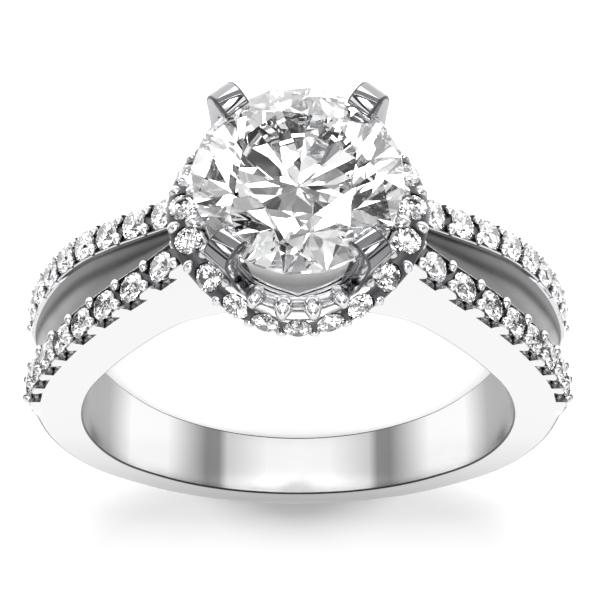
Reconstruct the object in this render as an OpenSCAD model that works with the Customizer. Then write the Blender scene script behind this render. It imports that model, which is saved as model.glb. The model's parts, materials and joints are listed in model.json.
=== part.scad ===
// Diamond ring: one soldered white-gold mounting, a round centre stone in four
// claws, a collar of small stones below it and two stone-set rails on each shoulder.
// The ring lies on the back of its band and collar, with its head towards -Y.

/* [Finger hole and band] */
// Diameter of the finger hole
finger_hole_d = 16.5; // [16:0.1:17.2]
// Width of the band at its bottom
band_bottom_w = 2.54; // [2.4:0.02:2.7]
// Thickness of the band at its bottom
band_bottom_t = 1.1; // [1:0.05:1.3]
// Rounding of the band's long outer edges
band_edge = 0.12; // [0.08:0.01:0.2]

/* [Shoulder rails] */
// Width of each stone-set rail
rail_w = 1.3; // [1.28:0.01:1.36]
// Depth of the polished groove between the two rails
groove_depth = 0.6; // [0.4:0.05:0.7]
// Stones in each of the four rails
row_count = 8; // [6:1:8]
// Angle from the bottom of the band to the stone nearest the collar
row_first_angle = 156; // [155:0.5:157]
// Angle from one stone of a rail to the next
row_step = 7.25; // [7.1:0.05:7.3]

/* [Collar] */
// Height of the collar's middle above the finger hole's edge
collar_rise = 4.45; // [4.35:0.05:4.55]
// Mean radius of the collar's tube from the middle of the head
collar_r = 3.82; // [3.78:0.01:3.88]
// Radius of the collar's tube
collar_tube_r = 0.64; // [0.6:0.01:0.68]
// How far the collar swells to a soft point at front, back and sides
collar_point = 0.1; // [0:0.01:0.12]

/* [Centre stone and claws] */
// Diameter of the centre stone
centre_stone_d = 7.3; // [7:0.05:7.4]
// Height of the centre stone's widest plane above the finger hole's edge
girdle_rise = 6.9; // [6.8:0.05:7]
// Width of a claw at its tip
claw_w = 1.0; // [0.9:0.05:1.1]
// Angle of the claws from the front or back of the head
claw_azimuth = 40; // [38:0.5:45]

/* [Small stones] */
// Diameter of the stones in the rails
shoulder_stone_d = 1.15; // [1.05:0.05:1.15]
// Diameter of the stones in the collar
collar_stone_d = 1.0; // [0.9:0.05:1]
// Radius of the beads that hold the small stones
bead_r = 0.2; // [0.16:0.01:0.22]
// Clear space between a stone and the metal of its seat
seat_gap = 0.03; // [0.02:0.01:0.04]

/* [Hidden] */

metal_colour = "#dcdee2";
stone_colour = "#eef6fb";

hole_r = finger_hole_d / 2;
collar_z = hole_r + collar_rise;
girdle_z = hole_r + girdle_rise;

// Sections of the band, going up from its bottom to the collar
// columns: angle from the bottom, half width at the finger hole,
// half spacing of the rails, thickness to the rail tops, share of the groove's depth
band_sections = [
    [  0, 0.000, 0.62, 0.00, 0.00],
    [ 40, 0.160, 0.78, 0.05, 0.00],
    [ 60, 0.380, 1.01, 0.22, 0.00],
    [ 80, 0.510, 1.18, 0.45, 0.00],
    [ 93, 0.575, 1.34, 0.66, 0.10],
    [100, 0.600, 1.52, 0.98, 0.60],
    [110, 0.620, 1.61, 1.15, 0.85],
    [122, 0.630, 1.68, 1.34, 1.00],
    [134, 0.450, 1.58, 1.62, 1.00],
    [142, 0.250, 1.43, 1.85, 1.00],
    [150, 0.060, 1.24, 2.17, 0.90],
    [156, 0.030, 1.05, 2.60, 0.80],
    [160, 0.030, 0.92, 3.02, 0.75],
    [164, 0.030, 0.85, 3.50, 0.70]
];
band_last = len(band_sections) - 1;
band_end_angle = band_sections[band_last][0];
band_sections_count = 66;
groove_start_angle = 90;
hole_overlap = 0.3;
bridge_span = 9;
collar_steps = 40;
collar_sides = 10;
turned_sides = 40;

// Azimuth of each collar stone from the front of the head to its side
collar_stone_azimuths = [0, 14.5, 30, 49, 71, 90];
collar_lean_side = 5;
collar_lean_front = 88;
collar_sink = 0.12;

// Lean of the beads on the collar: inner ones at the sides and at the front, and how far
// the outer ones lean past the stones
inner_bead_lean_side = -40;
inner_bead_lean_front = 24;
outer_bead_offset = 40;

// Height of a bead above the metal, and how far it goes into it
rail_bead_rise = 0.16;
collar_bead_rise = 0.1;
bead_root = 0.12;
bead_sides = 5;
bead_spread = 0.4;

// Proportions of a cut stone, as shares of its diameter
table_share = 0.57;
crown_share = 0.15;
pavilion_share = 0.43;
girdle_share = 0.02;
star_share = 0.55;
lower_half_share = 0.77;
stone_turn = 15;
small_culet_r = 0.03;
rail_sink = 0.04;
seat_sides = 8;
seat_floor_gap = 0.06;
seat_mouth_h = 0.5;
notch_w = 0.7;
notch_depth = 0.5;
notch_inset = 0.3;

// Sections of a claw
// columns: rise above the finger hole's edge, inner radius, outer radius, gain in half width
claw_sections = [
    [3.30, 2.60, 3.40, 0.25],
    [4.65, 2.95, 3.78, 0.17],
    [6.15, 3.25, 4.12, 0.03],
    [7.10, 3.32, 4.32, 0.00],
    [7.52, 3.24, 4.26, -0.02],
    [7.78, 3.44, 4.02, -0.22]
];

// The metal is fused at this enlargement, so that its thinnest facets stay true
fusing_scale = 100;

bridge_t = 1.7;
bridge_half_w = band_bottom_w / 2 + 0.03;
cup_base_z = hole_r + 1.2;
cup_base_r = 1.7;
cup_rim_z = collar_z + 0.15;
cup_rim_r = collar_r - collar_tube_r + 0.1;

// Slope of the piece at rest: it touches at the hindmost collar stone's table
// and at the back edge of the band's bottom
contact_crown = collar_tube_r - collar_sink + collar_stone_d * (girdle_share / 2 + crown_share);
contact_table_r = collar_stone_d / 2 * table_share;
contact_reach = collar_r + collar_point
    + contact_crown * sin(collar_lean_front) + contact_table_r * cos(collar_lean_front);
contact_z = collar_z + contact_crown * cos(collar_lean_front) - contact_table_r * sin(collar_lean_front);
band_bottom_r = hole_r + band_bottom_t;
band_edge_r = band_bottom_r - band_edge;
band_half_w = band_sections[0][2] + rail_w / 2;
rest_tilt = atan((contact_reach - band_half_w) / (contact_z + band_edge_r));
rest_lift = band_edge_r * sin(rest_tilt) + band_half_w * cos(rest_tilt);

// Shift that brings the origin to the middle of the footprint
table_z = girdle_z + centre_stone_d * (crown_share + girdle_share / 2);
table_back = centre_stone_d / 2 * table_share * sin(90 + stone_turn);
rest_near_y = table_z * cos(rest_tilt) + table_back * sin(rest_tilt);
rest_far_y = band_bottom_r * cos(rest_tilt) + (band_half_w - band_edge) * sin(rest_tilt);
rest_shift = (rest_near_y - rest_far_y) / 2;

// Value of a column of a table at a given first-column value, smooth between the rows
function row_below(table, a, i = 0) =
    i >= len(table) - 2 || a < table[i + 1][0] ? i : row_below(table, a, i + 1);
function slope_at(table, column, i) =
    i <= 0 || i >= len(table) - 1 ? 0
    : (table[i + 1][column] - table[i - 1][column]) / (table[i + 1][0] - table[i - 1][0]);
function end_slope(table, column) =
    let(n = len(table) - 1)
    (table[n][column] - table[n - 1][column]) / (table[n][0] - table[n - 1][0]);
function any_slope(table, column, i) =
    i == len(table) - 1 ? end_slope(table, column) : slope_at(table, column, i);
function smooth_value(table, column, a) =
    let(
        i = row_below(table, a),
        span = table[i + 1][0] - table[i][0],
        t = (a - table[i][0]) / span,
        v0 = table[i][column],
        v1 = table[i + 1][column],
        s0 = any_slope(table, column, i) * span,
        s1 = any_slope(table, column, i + 1) * span
    )
    v0 * (2 * t * t * t - 3 * t * t + 1) + s0 * (t * t * t - 2 * t * t + t)
    + v1 * (3 * t * t - 2 * t * t * t) + s1 * (t * t * t - t * t);

function hole_half_w(a) = band_bottom_w / 2 + smooth_value(band_sections, 1, a);
function rail_half_spacing(a) = smooth_value(band_sections, 2, a);
function outer_r(a) = hole_r + band_bottom_t + smooth_value(band_sections, 3, a);
function groove_share(a) = a < groove_start_angle ? 0 : max(0, smooth_value(band_sections, 4, a));
function rail_slope(a) = atan((outer_r(a + 1) - outer_r(a - 1)) / (2 * PI / 180) / outer_r(a));

// Closed skin over rings of points; capped at both ends, or joined end to start
module skin(rings, joined = false) {
    n = len(rings[0]);
    m = len(rings);
    points = [for (ring = rings) for (p = ring) p];
    last = joined ? m - 1 : m - 2;
    sides = [
        for (i = [0 : last]) for (j = [0 : n - 1])
            let(
                a = i * n + j,
                b = i * n + (j + 1) % n,
                c = ((i + 1) % m) * n + (j + 1) % n,
                d = ((i + 1) % m) * n + j
            )
            each [[a, b, c], [a, c, d]]
    ];
    first_cap = [for (j = [n - 1 : -1 : 0]) j];
    last_cap = [for (j = [0 : n - 1]) (m - 1) * n + j];
    polyhedron(points = points, faces = joined ? sides : concat(sides, [first_cap, last_cap]));
}

// Half of the band's section, as [radius, half width] from the hole's side to the middle
function half_section(a) =
    let(
        outer = outer_r(a),
        edge = rail_half_spacing(a) + rail_w / 2,
        inside = max(0.3, rail_half_spacing(a) - rail_w / 2),
        depth = groove_depth * groove_share(a)
    )
    [
        [hole_r - hole_overlap, hole_half_w(a)],
        [outer - band_edge, edge],
        [outer, edge - band_edge],
        [outer, inside],
        [outer - 0.6 * depth, inside * 0.85],
        [outer - depth, inside * 0.35]
    ];
function whole_section(a) =
    let(half = half_section(a), n = len(half))
    concat(half, [for (i = [n - 1 : -1 : 0]) [half[i][0], -half[i][1]]]);
function section_ring(angle) =
    [for (p = whole_section(abs(angle))) [p[0] * sin(angle), p[1], -p[0] * cos(angle)]];

module band_body() {
    skin([
        for (k = [0 : band_sections_count])
            section_ring(band_end_angle * (2 * k / band_sections_count - 1))
    ]);
}

// The band closes below the head
module bridge() {
    intersection() {
        rotate([90, 0, 0])
            cylinder(r = hole_r + bridge_t, h = 2 * bridge_half_w, center = true, $fn = 60);
        translate([-bridge_span / 2, -bridge_half_w, 0])
            cube([bridge_span, 2 * bridge_half_w, hole_r + bridge_t + 1]);
    }
}

function collar_tube_centre(azimuth) = collar_r + collar_point * cos(4 * azimuth);

module collar_ring() {
    skin([
        for (k = [0 : collar_steps - 1])
            let(azimuth = 360 * k / collar_steps, centre = collar_tube_centre(azimuth))
            [
                for (j = [0 : collar_sides - 1])
                    let(lean = -360 * (j + 0.5) / collar_sides, r = centre + collar_tube_r * sin(lean))
                    [r * sin(azimuth), -r * cos(azimuth), collar_z + collar_tube_r * cos(lean)]
            ]
    ], joined = true);
}

// Dish inside the collar, below the centre stone, on a foot that stands on the bridge
module cup() {
    // columns: radius, height
    profile = [
        [0, cup_base_z],
        [cup_base_r, cup_base_z],
        [cup_base_r + 0.1, cup_base_z + 1],
        [cup_rim_r, collar_z - 0.5],
        [cup_rim_r + 0.3, collar_z],
        [cup_rim_r, cup_rim_z],
        [cup_rim_r - 0.5, cup_rim_z - 0.42],
        [cup_rim_r - 1.2, cup_rim_z - 1],
        [cup_rim_r - 2.2, cup_rim_z - 1.6],
        [0, cup_rim_z - 1.8]
    ];
    rotate([0, 0, 180 / turned_sides])
        rotate_extrude($fn = turned_sides)
            polygon(profile);
}

module claw() {
    skin([
        for (s = claw_sections)
            let(z = hole_r + s[0], w = claw_w / 2 + s[3])
            [[s[1], w, z], [s[2], w, z], [s[2], -w, z], [s[1], -w, z]]
    ]);
}

module claws() {
    for (azimuth = [claw_azimuth, -claw_azimuth, 180 - claw_azimuth, 180 + claw_azimuth])
        rotate([0, 0, azimuth - 90])
            claw();
}

// Puts its children on a rail: index along the rail, side to the right or left, back or front
module on_rail(index, side_x, side_y) {
    a = row_first_angle - row_step * index;
    mirror([side_x < 0 ? 1 : 0, 0, 0])
        mirror([0, side_y < 0 ? 1 : 0, 0])
            rotate([0, 180 - a, 0])
                translate([0, rail_half_spacing(a), outer_r(a)])
                    rotate([0, rail_slope(a), 0])
                        children();
}

function front_share(azimuth) = pow(cos(azimuth), 2);
function collar_lean(azimuth) =
    collar_lean_side + (collar_lean_front - collar_lean_side) * front_share(azimuth);
function inner_bead_lean(azimuth) =
    inner_bead_lean_side + (inner_bead_lean_front - inner_bead_lean_side) * front_share(azimuth);

// Puts its children on the collar's tube, leaning outwards from upright
module on_collar(azimuth, lean) {
    rotate([0, 0, azimuth - 90])
        translate([collar_tube_centre(azimuth), 0, collar_z])
            rotate([0, lean, 0])
                translate([0, 0, collar_tube_r])
                    children();
}

// Azimuths of the stones of one half of the collar: front (side -1) or back (side 1)
quarter = collar_stone_azimuths;
side_index = len(quarter) - 1;
front_azimuths = concat(
    [for (i = [side_index : -1 : 1]) -quarter[i]],
    [for (i = [0 : side_index]) quarter[i]]
);
back_azimuths = concat(
    [for (i = [side_index - 1 : -1 : 1]) 180 - quarter[i]],
    [for (i = [0 : side_index - 1]) 180 + quarter[i]]
);
all_azimuths = concat(front_azimuths, back_azimuths);

module bead(rise) {
    translate([0, 0, -bead_root])
        cylinder(r1 = bead_r, r2 = bead_r * 0.62, h = bead_root + rise, $fn = bead_sides);
}

module rail_beads(side_x, side_y) {
    for (index = [-0.5 : row_count - 0.5])
        for (side = [-1, 1])
            on_rail(index, side_x, side_y)
                translate([0, side * bead_spread, 0])
                    bead(rail_bead_rise);
}

module collar_beads() {
    n = len(all_azimuths);
    for (i = [0 : n - 1]) {
        next = i == n - 1 ? all_azimuths[0] + 360 : all_azimuths[i + 1];
        middle = (all_azimuths[i] + next) / 2;
        for (lean = [inner_bead_lean(middle), collar_lean(middle) + outer_bead_offset])
            on_collar(middle, lean)
                bead(collar_bead_rise);
    }
}

// Space that a small stone of diameter d needs
module seat(d) {
    r = (d / 2 + seat_gap) / cos(180 / seat_sides);
    depth = d * pavilion_share + seat_floor_gap;
    translate([0, 0, -depth])
        rotate([0, 0, 180 / seat_sides])
            cylinder(r = r, h = depth + seat_mouth_h, $fn = seat_sides);
}

module rail_seats(side_x, side_y) {
    for (index = [0 : row_count - 1])
        on_rail(index, side_x, side_y) {
            translate([0, 0, -rail_sink])
                seat(shoulder_stone_d);
            translate([-notch_w / 2, notch_inset, -notch_depth])
                cube([notch_w, rail_w, notch_depth + 1]);
        }
}

module collar_seats() {
    for (azimuth = all_azimuths)
        on_collar(azimuth, collar_lean(azimuth))
            translate([0, 0, -collar_sink])
                seat(collar_stone_d);
}

// Radius and height of the star corners of a brilliant of diameter d, from its middle
function star_corner_r(d) =
    let(inner_r = d / 2 * table_share * cos(22.5))
    inner_r + star_share * (d / 2 - inner_r);
function star_corner_z(d) =
    let(slope = crown_share / (1 - table_share) * 2)
    d * girdle_share / 2 + slope * (d / 2 - star_corner_r(d) * cos(22.5));

// The centre stone's outline of revolution, grown by the seat gap
module centre_stone_space() {
    r = centre_stone_d / 2 + seat_gap;
    half_girdle = centre_stone_d * girdle_share / 2 + seat_gap;
    top = centre_stone_d * crown_share + half_girdle;
    profile = [
        [0, -centre_stone_d * pavilion_share - half_girdle],
        [r, -half_girdle],
        [r, half_girdle],
        [star_corner_r(centre_stone_d) + seat_gap, star_corner_z(centre_stone_d) + seat_gap],
        [centre_stone_d / 2 * table_share + seat_gap, top],
        [0, top]
    ];
    translate([0, 0, girdle_z])
        rotate([0, 0, 90 / turned_sides])
            rotate_extrude($fn = turned_sides)
                polygon(profile);
}

module finger_hole() {
    rotate([90, 0, 0])
        cylinder(r = hole_r, h = 12, center = true, $fn = 180);
}

// Places the ring, drawn with its head up, on its back, head towards -Y
module resting() {
    translate([0, rest_shift, rest_lift])
        rotate([-rest_tilt, 0, 0])
            rotate([0, 0, 180])
                rotate([-90, 0, 0])
                    children();
}

// Everything that is soldered together, before the finger hole is bored
module soldered_metal() {
    difference() {
        union() {
            band_body();
            bridge();
            collar_ring();
            cup();
            claws();
        }
        centre_stone_space();
        collar_seats();
        for (side_x = [-1, 1])
            for (side_y = [-1, 1])
                rail_seats(side_x, side_y);
    }
    collar_beads();
    for (side_x = [-1, 1])
        for (side_y = [-1, 1])
            rail_beads(side_x, side_y);
}

module mounting() {
    color(metal_colour)
        resting()
            difference() {
                scale(1 / fusing_scale)
                    resize([0, 0, 0])
                        scale(fusing_scale)
                            soldered_metal();
                finger_hole();
            }
}

// Round brilliant: table, 8 stars, 8 kites and 16 halves above, 8 mains and 16 halves below
module brilliant(d) {
    r = d / 2;
    g = d * girdle_share / 2;
    crown_h = d * crown_share;
    pavilion_h = d * pavilion_share;
    table_r = r * table_share;
    star_r = star_corner_r(d);
    star_z = star_corner_z(d);
    low_r = r * (1 - lower_half_share);
    low_z = -g - pavilion_h * (1 - low_r * cos(22.5) / r);
    points = concat(
        [for (k = [0 : 7]) [table_r * cos(45 * k), table_r * sin(45 * k), g + crown_h]],
        [for (k = [0 : 7]) [star_r * cos(45 * k + 22.5), star_r * sin(45 * k + 22.5), star_z]],
        [for (k = [0 : 15]) [r * cos(22.5 * k), r * sin(22.5 * k), g]],
        [for (k = [0 : 15]) [r * cos(22.5 * k), r * sin(22.5 * k), -g]],
        [for (k = [0 : 7]) [low_r * cos(45 * k + 22.5), low_r * sin(45 * k + 22.5), low_z]],
        [[0, 0, -g - pavilion_h]]
    );
    star = 8;
    upper = 16;
    lower = 32;
    low = 48;
    culet = 56;
    faces = concat(
        [[for (k = [7 : -1 : 0]) k]],
        [for (k = [0 : 7]) [k, (k + 1) % 8, star + k]],
        [for (k = [0 : 7]) [k, star + k, upper + 2 * k, star + (k + 7) % 8]],
        [for (k = [0 : 7]) [star + k, upper + 2 * k + 1, upper + 2 * k]],
        [for (k = [0 : 7]) [star + k, upper + (2 * k + 2) % 16, upper + 2 * k + 1]],
        [for (k = [0 : 15]) [upper + k, upper + (k + 1) % 16, lower + (k + 1) % 16, lower + k]],
        [for (k = [0 : 7]) [low + k, lower + 2 * k, lower + 2 * k + 1]],
        [for (k = [0 : 7]) [low + k, lower + 2 * k + 1, lower + (2 * k + 2) % 16]],
        [for (k = [0 : 7]) [culet, low + (k + 7) % 8, lower + 2 * k, low + k]]
    );
    polyhedron(points = points, faces = faces);
}

// Small stone of diameter d in a plain cut: table, 8 crown facets and 8 pavilion facets
module small_stone(d) {
    r = d / 2;
    g = d * girdle_share / 2;
    // columns: radius, height
    profile = [
        [small_culet_r, -g - d * pavilion_share],
        [r, -g],
        [r, g],
        [r * table_share, g + d * crown_share]
    ];
    skin([for (p = profile) [for (k = [0 : 7]) [p[0] * cos(45 * k), -p[0] * sin(45 * k), p[1]]]]);
}

module centre_stone() {
    color(stone_colour)
        resting()
            translate([0, 0, girdle_z])
                rotate([0, 0, stone_turn])
                    brilliant(centre_stone_d);
}

module shoulder_stones(side_x, side_y) {
    color(stone_colour)
        resting()
            for (index = [0 : row_count - 1])
                on_rail(index, side_x, side_y)
                    translate([0, 0, -rail_sink])
                        small_stone(shoulder_stone_d);
}

module collar_stones(azimuths) {
    color(stone_colour)
        resting()
            for (azimuth = azimuths)
                on_collar(azimuth, collar_lean(azimuth))
                    translate([0, 0, -collar_sink])
                        small_stone(collar_stone_d);
}

mounting();
centre_stone();
shoulder_stones(-1, -1);  // shoulder_stones_front_left
shoulder_stones(1, -1);  // shoulder_stones_front_right
shoulder_stones(-1, 1);  // shoulder_stones_back_left
shoulder_stones(1, 1);  // shoulder_stones_back_right
collar_stones(front_azimuths);  // collar_stones_front
collar_stones(back_azimuths);  // collar_stones_back
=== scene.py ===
import json
import math

import bmesh
import bpy
from mathutils import Matrix, Vector


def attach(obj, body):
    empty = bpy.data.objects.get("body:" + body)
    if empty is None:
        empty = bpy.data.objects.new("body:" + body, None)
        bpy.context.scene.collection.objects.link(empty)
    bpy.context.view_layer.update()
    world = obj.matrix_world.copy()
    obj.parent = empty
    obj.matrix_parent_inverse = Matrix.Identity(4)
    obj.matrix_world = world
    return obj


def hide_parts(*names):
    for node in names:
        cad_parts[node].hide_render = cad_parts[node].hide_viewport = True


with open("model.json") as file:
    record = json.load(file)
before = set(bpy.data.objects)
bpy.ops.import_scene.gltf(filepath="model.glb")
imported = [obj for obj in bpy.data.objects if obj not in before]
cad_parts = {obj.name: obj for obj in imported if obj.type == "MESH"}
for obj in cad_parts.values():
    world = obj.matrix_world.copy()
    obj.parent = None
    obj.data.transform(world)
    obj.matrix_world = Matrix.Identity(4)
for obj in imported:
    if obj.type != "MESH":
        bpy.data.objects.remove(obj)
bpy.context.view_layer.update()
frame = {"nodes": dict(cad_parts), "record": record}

# The ring's own axes
# The ring was drawn as it is worn and then laid down, so every piece is made in millimetres with
# x to the right, y through the finger hole to its back, z up to the centre stone, and zero in the
# middle of the finger hole. The hole's place and axis in the frame say where the ring lies.
hole = next(mount for mount in frame["record"]["mounts"] if mount["name"] == "finger_hole")
hole_r = hole["dims"]["r_mm"]
ring_y = -Vector(hole["axis"]).normalized()
ring_x = Vector((-1, 0, 0))
ring_z = ring_x.cross(ring_y)
LAID = Matrix((ring_x, ring_y, ring_z)).transposed().to_4x4()
LAID.translation = Vector(hole["pos_m"])
LAID = LAID @ Matrix.Scale(0.001, 4)


# White metal of the mounting
# 14-karat white gold, cast, polished to a mirror and plated with rhodium. The plating gives a cool,
# almost colourless silver; polishing leaves faint waves and a haze of wheel marks.
def linear(hex_colour):
    """Turns an sRGB hex colour to the linear values that a shader takes."""
    channels = [int(hex_colour[i:i + 2], 16) / 255 for i in (1, 3, 5)]
    return [c / 12.92 if c <= 0.04045 else ((c + 0.055) / 1.055) ** 2.4 for c in channels] + [1]


def add_node(tree, kind, inputs=(), **properties):
    """Adds a node to a tree, sets its properties, and gives its inputs a value or a link."""
    node = tree.nodes.new(kind)
    for name, value in properties.items():
        setattr(node, name, value)
    for name, value in dict(inputs).items():
        if isinstance(value, bpy.types.NodeSocket):
            tree.links.new(value, node.inputs[name])
        else:
            node.inputs[name].default_value = value
    return node


# Sizes of the clouds of haze, of the wheel's marks and of the waves. Real wheel marks are too fine to
# show, so they are drawn about as coarse as a pixel of the picture.
haze_mm = 1.5
wheel_mark_mm = 0.05
wave_mm = 0.7
# Clouds times marks lie between these two, where the metal is smoothest and where it is haziest.
HAZE_RANGE = (0.1, 0.4)
# Metal that is open to more than the second share of what is round it gets no painted shade. Below the first
# share it is painted as a dark hollow in shade, which keeps only the share set below of the metal's shade.
PAINTED_SHADE_OPEN_SHARES = (0.42, 0.9)
painted_hollow_share = 0.04


def polished_metal(name, tint, smooth, hazy, wave_height_mm, painted_shade_mm=0):
    """Rhodium-plated gold: a mirror with soft clouds of polishing haze and faint waves. Its tint is a pair
    of colours, or None where shaded_along paints its shades. Where a crevice size is given, shade is painted
    into hollows of about that size."""
    material = bpy.data.materials.new(name)
    material.use_nodes = True
    tree = material.node_tree
    shader = tree.nodes["Principled BSDF"]
    shader.inputs["Metallic"].default_value = 1
    places = add_node(tree, "ShaderNodeTexCoord").outputs["Object"]
    clouds = add_node(tree, "ShaderNodeTexNoise", {
        "Vector": places, "Scale": 1000 / haze_mm, "Detail": 3}).outputs["Fac"]
    marks = add_node(tree, "ShaderNodeTexNoise", {
        "Vector": places, "Scale": 1000 / wheel_mark_mm, "Detail": 2}).outputs["Fac"]
    haze = add_node(tree, "ShaderNodeMath", {0: clouds, 1: marks}, operation="MULTIPLY").outputs["Value"]
    roughness = add_node(tree, "ShaderNodeMapRange", {
        "Value": haze, "From Min": HAZE_RANGE[0], "From Max": HAZE_RANGE[1],
        "To Min": smooth, "To Max": hazy})
    tree.links.new(roughness.outputs["Result"], shader.inputs["Roughness"])
    waves = add_node(tree, "ShaderNodeTexNoise", {
        "Vector": places, "Scale": 1000 / wave_mm, "Detail": 1}).outputs["Fac"]
    bump = add_node(tree, "ShaderNodeBump", {
        "Height": waves, "Strength": 1, "Distance": wave_height_mm / 1000})
    tree.links.new(bump.outputs["Normal"], shader.inputs["Normal"])
    if tint:
        shade = add_node(tree, "ShaderNodeMix", {
            0: clouds, 6: linear(tint[0]), 7: linear(tint[1])}, data_type="RGBA").outputs[2]
        if painted_shade_mm:
            openness = add_node(tree, "ShaderNodeAmbientOcclusion", {
                "Distance": painted_shade_mm / 1000}, samples=6).outputs["AO"]
            unshaded = add_node(tree, "ShaderNodeMapRange", {
                "Value": openness, "From Min": PAINTED_SHADE_OPEN_SHARES[0], "From Max": PAINTED_SHADE_OPEN_SHARES[1],
                "To Min": painted_hollow_share, "To Max": 1}).outputs["Result"]
            # Painted shade: hollows found by ambient occlusion get this near-black colour mixed in.
            shade = add_node(tree, "ShaderNodeMix", {
                0: unshaded, 6: linear("#1C1C1D"), 7: shade}, data_type="RGBA").outputs[2]
        tree.links.new(shade, shader.inputs["Base Color"])
    return material


white_gold = polished_metal("rhodium_plated_white_gold", ("#EEEEF0", "#E4E5E8"), 0.02, 0.07, 0.0004)

# Band
# The shank and its two shoulders, cast in one piece. It starts narrow and thin at the bottom and
# widens to two raised rails on each shoulder, with a concave polished groove between them.
# columns: angle from the bottom, gain in half width at the hole, half spacing of the rails,
# gain in thickness, share of the groove's depth
BAND_SECTIONS = [
    (0, 0.000, 0.62, 0.00, 0.00),
    (40, 0.160, 0.78, 0.05, 0.00),
    (60, 0.380, 1.01, 0.22, 0.00),
    (80, 0.510, 1.18, 0.45, 0.00),
    (93, 0.575, 1.34, 0.66, 0.10),
    (100, 0.600, 1.52, 0.98, 0.60),
    (110, 0.620, 1.61, 1.15, 0.85),
    (122, 0.630, 1.68, 1.34, 1.00),
    (134, 0.450, 1.58, 1.62, 1.00),
    (142, 0.250, 1.43, 1.85, 1.00),
    (150, 0.060, 1.24, 2.17, 0.90),
    (156, 0.030, 1.05, 2.60, 0.80),
    (160, 0.030, 0.92, 3.02, 0.75),
    (164, 0.030, 0.85, 3.50, 0.70),
]
band_bottom_w = 2.54
band_bottom_t = 1.1
band_edge = 0.12
bore_edge = 0.06
rail_w = 1.3
rail_inner_edge = 0.06
groove_depth = 0.6
groove_start = 90
groove_least_half_w = 0.3
groove_steps = 9
# The groove's section is an ellipse, made a little squarer by this power.
groove_bowl = 2.4
rail_least_edge = 0.004
edge_steps = 4
small_edge_steps = 3
side_steps = 4
# Between its two edges the top of a rail is cut down a little, round the stones.
ground_start = 99
ground_blend = 3
ground_sink = 0.1
ground_slope = 0.03
# Above the last section the band closes below the head, as a plain strap.
strap_start = BAND_SECTIONS[-1][0]
strap_blend = 1.5
strap_outer_r = hole_r + 1.7
strap_half_w = 1.3


def section_value(column, angle):
    """Value of a column of the band's table at an angle, smooth between its rows."""
    rows = BAND_SECTIONS
    last = len(rows) - 1

    def slope(i):
        if i == 0:
            return 0
        before = rows[i - 1]
        after = rows[min(i + 1, last)]
        return (after[column] - before[column]) / (after[0] - before[0])

    i = max(k for k in range(last) if rows[k][0] <= angle or k == 0)
    span = rows[i + 1][0] - rows[i][0]
    t = (angle - rows[i][0]) / span
    return (rows[i][column] * (2 * t ** 3 - 3 * t ** 2 + 1) + slope(i) * span * (t ** 3 - 2 * t ** 2 + t)
            + rows[i + 1][column] * (3 * t ** 2 - 2 * t ** 3) + slope(i + 1) * span * (t ** 3 - t ** 2))


def outer_r(angle):
    return hole_r + band_bottom_t + section_value(3, angle)


def rail_spacing(angle):
    return section_value(2, angle)


def rail_slope(angle):
    """How steeply the rail's top leaves the circle round the finger hole, in radians."""
    rise = (outer_r(angle + 1) - outer_r(angle - 1)) / math.radians(2)
    return math.atan(rise / outer_r(angle))


def arc(centre_r, centre_w, radius, start, end, steps):
    """Points (radius, half width) of a rounded edge; 0 degrees points outwards, 90 sideways."""
    turns = [math.radians(start + (end - start) * k / steps) for k in range(steps + 1)]
    return [(centre_r + radius * math.cos(t), centre_w + radius * math.sin(t)) for t in turns]


def shaded_along(material, axis, shades, both_ways=False):
    """Paints light and shade into a metal's colour along an axis of the frame, through rows of (millimetres,
    colour).
    Both ways, it does so alike on either side of the middle."""
    tree = material.node_tree
    places = add_node(tree, "ShaderNodeTexCoord").outputs["Object"]
    place = add_node(tree, "ShaderNodeSeparateXYZ", {"Vector": places}).outputs[axis]
    if both_ways:
        place = add_node(tree, "ShaderNodeMath", {0: place}, operation="ABSOLUTE").outputs["Value"]
    start = shades[0][0]
    end = shades[-1][0]
    share = add_node(tree, "ShaderNodeMapRange", {
        "Value": place, "From Min": start / 1000, "From Max": end / 1000}).outputs["Result"]
    ramp = add_node(tree, "ShaderNodeValToRGB", {"Fac": share})
    stops = ramp.color_ramp.elements
    while len(stops) < len(shades):
        stops.new(0.5)
    for stop, (millimetres, colour) in zip(stops, shades):
        stop.position = (millimetres - start) / (end - start)
        stop.color = linear(colour)
    tree.links.new(ramp.outputs["Color"], tree.nodes["Principled BSDF"].inputs["Base Color"])


# The wheel leaves the band's long edges satin, and their soft grey is painted shade.
satin_shaded_gold = polished_metal("satin_white_gold", ("#98989A", "#868688"), 0.22, 0.34, 0.0004)
# Metal cut with a bur round the small stones stays rough, and its dark tint is painted shade, which gives
# each stone and bead its dark outline.
burred_shaded_gold = polished_metal("burred_white_gold", ("#6C6C6E", "#4A4A4C"), 0.3, 0.45, 0.002)
# The finger hole's wall is polished along the hole, and soft bands side by side are painted into it as a
# reflection.
bored_reflection_gold = polished_metal("bored_white_gold", None, 0.16, 0.22, 0.0002)
shaded_along(bored_reflection_gold, "X", (
    (0, "#F0F0F0"), (1.3, "#ECECEC"), (2.9, "#C4C4C4"), (3.25, "#848484"), (3.75, "#808080"),
    (4.5, "#BEBEBE"), (5.3, "#EEEEEE"), (6.7, "#F0F0F0"), (7.5, "#AAAAAA"), (8.2, "#8C8C8C")),
    both_ways=True)
# The hole's edge is left unpolished, and painted shade makes it a thin dark line, darkest at the bottom of
# the band.
edge_shaded_gold = polished_metal("unpolished_edge_white_gold", None, 0.3, 0.4, 0.0002)
shaded_along(edge_shaded_gold, "Y", ((2, "#848486"), (5.333, "#6C6C6E"), (8.667, "#545456"), (12, "#262628")))
# The groove is brushed lengthways, and a painted shade darkens its grey towards the front rail.
groove_shaded_gold = polished_metal("brushed_groove_white_gold", None, 0.3, 0.36, 0.0001)
shaded_along(groove_shaded_gold, "Z", (
    (1.6, "#9C9C9C"), (2.3, "#999999"), (3, "#8A8A8A"), (3.7, "#686868"), (4.4, "#666666")))
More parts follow.
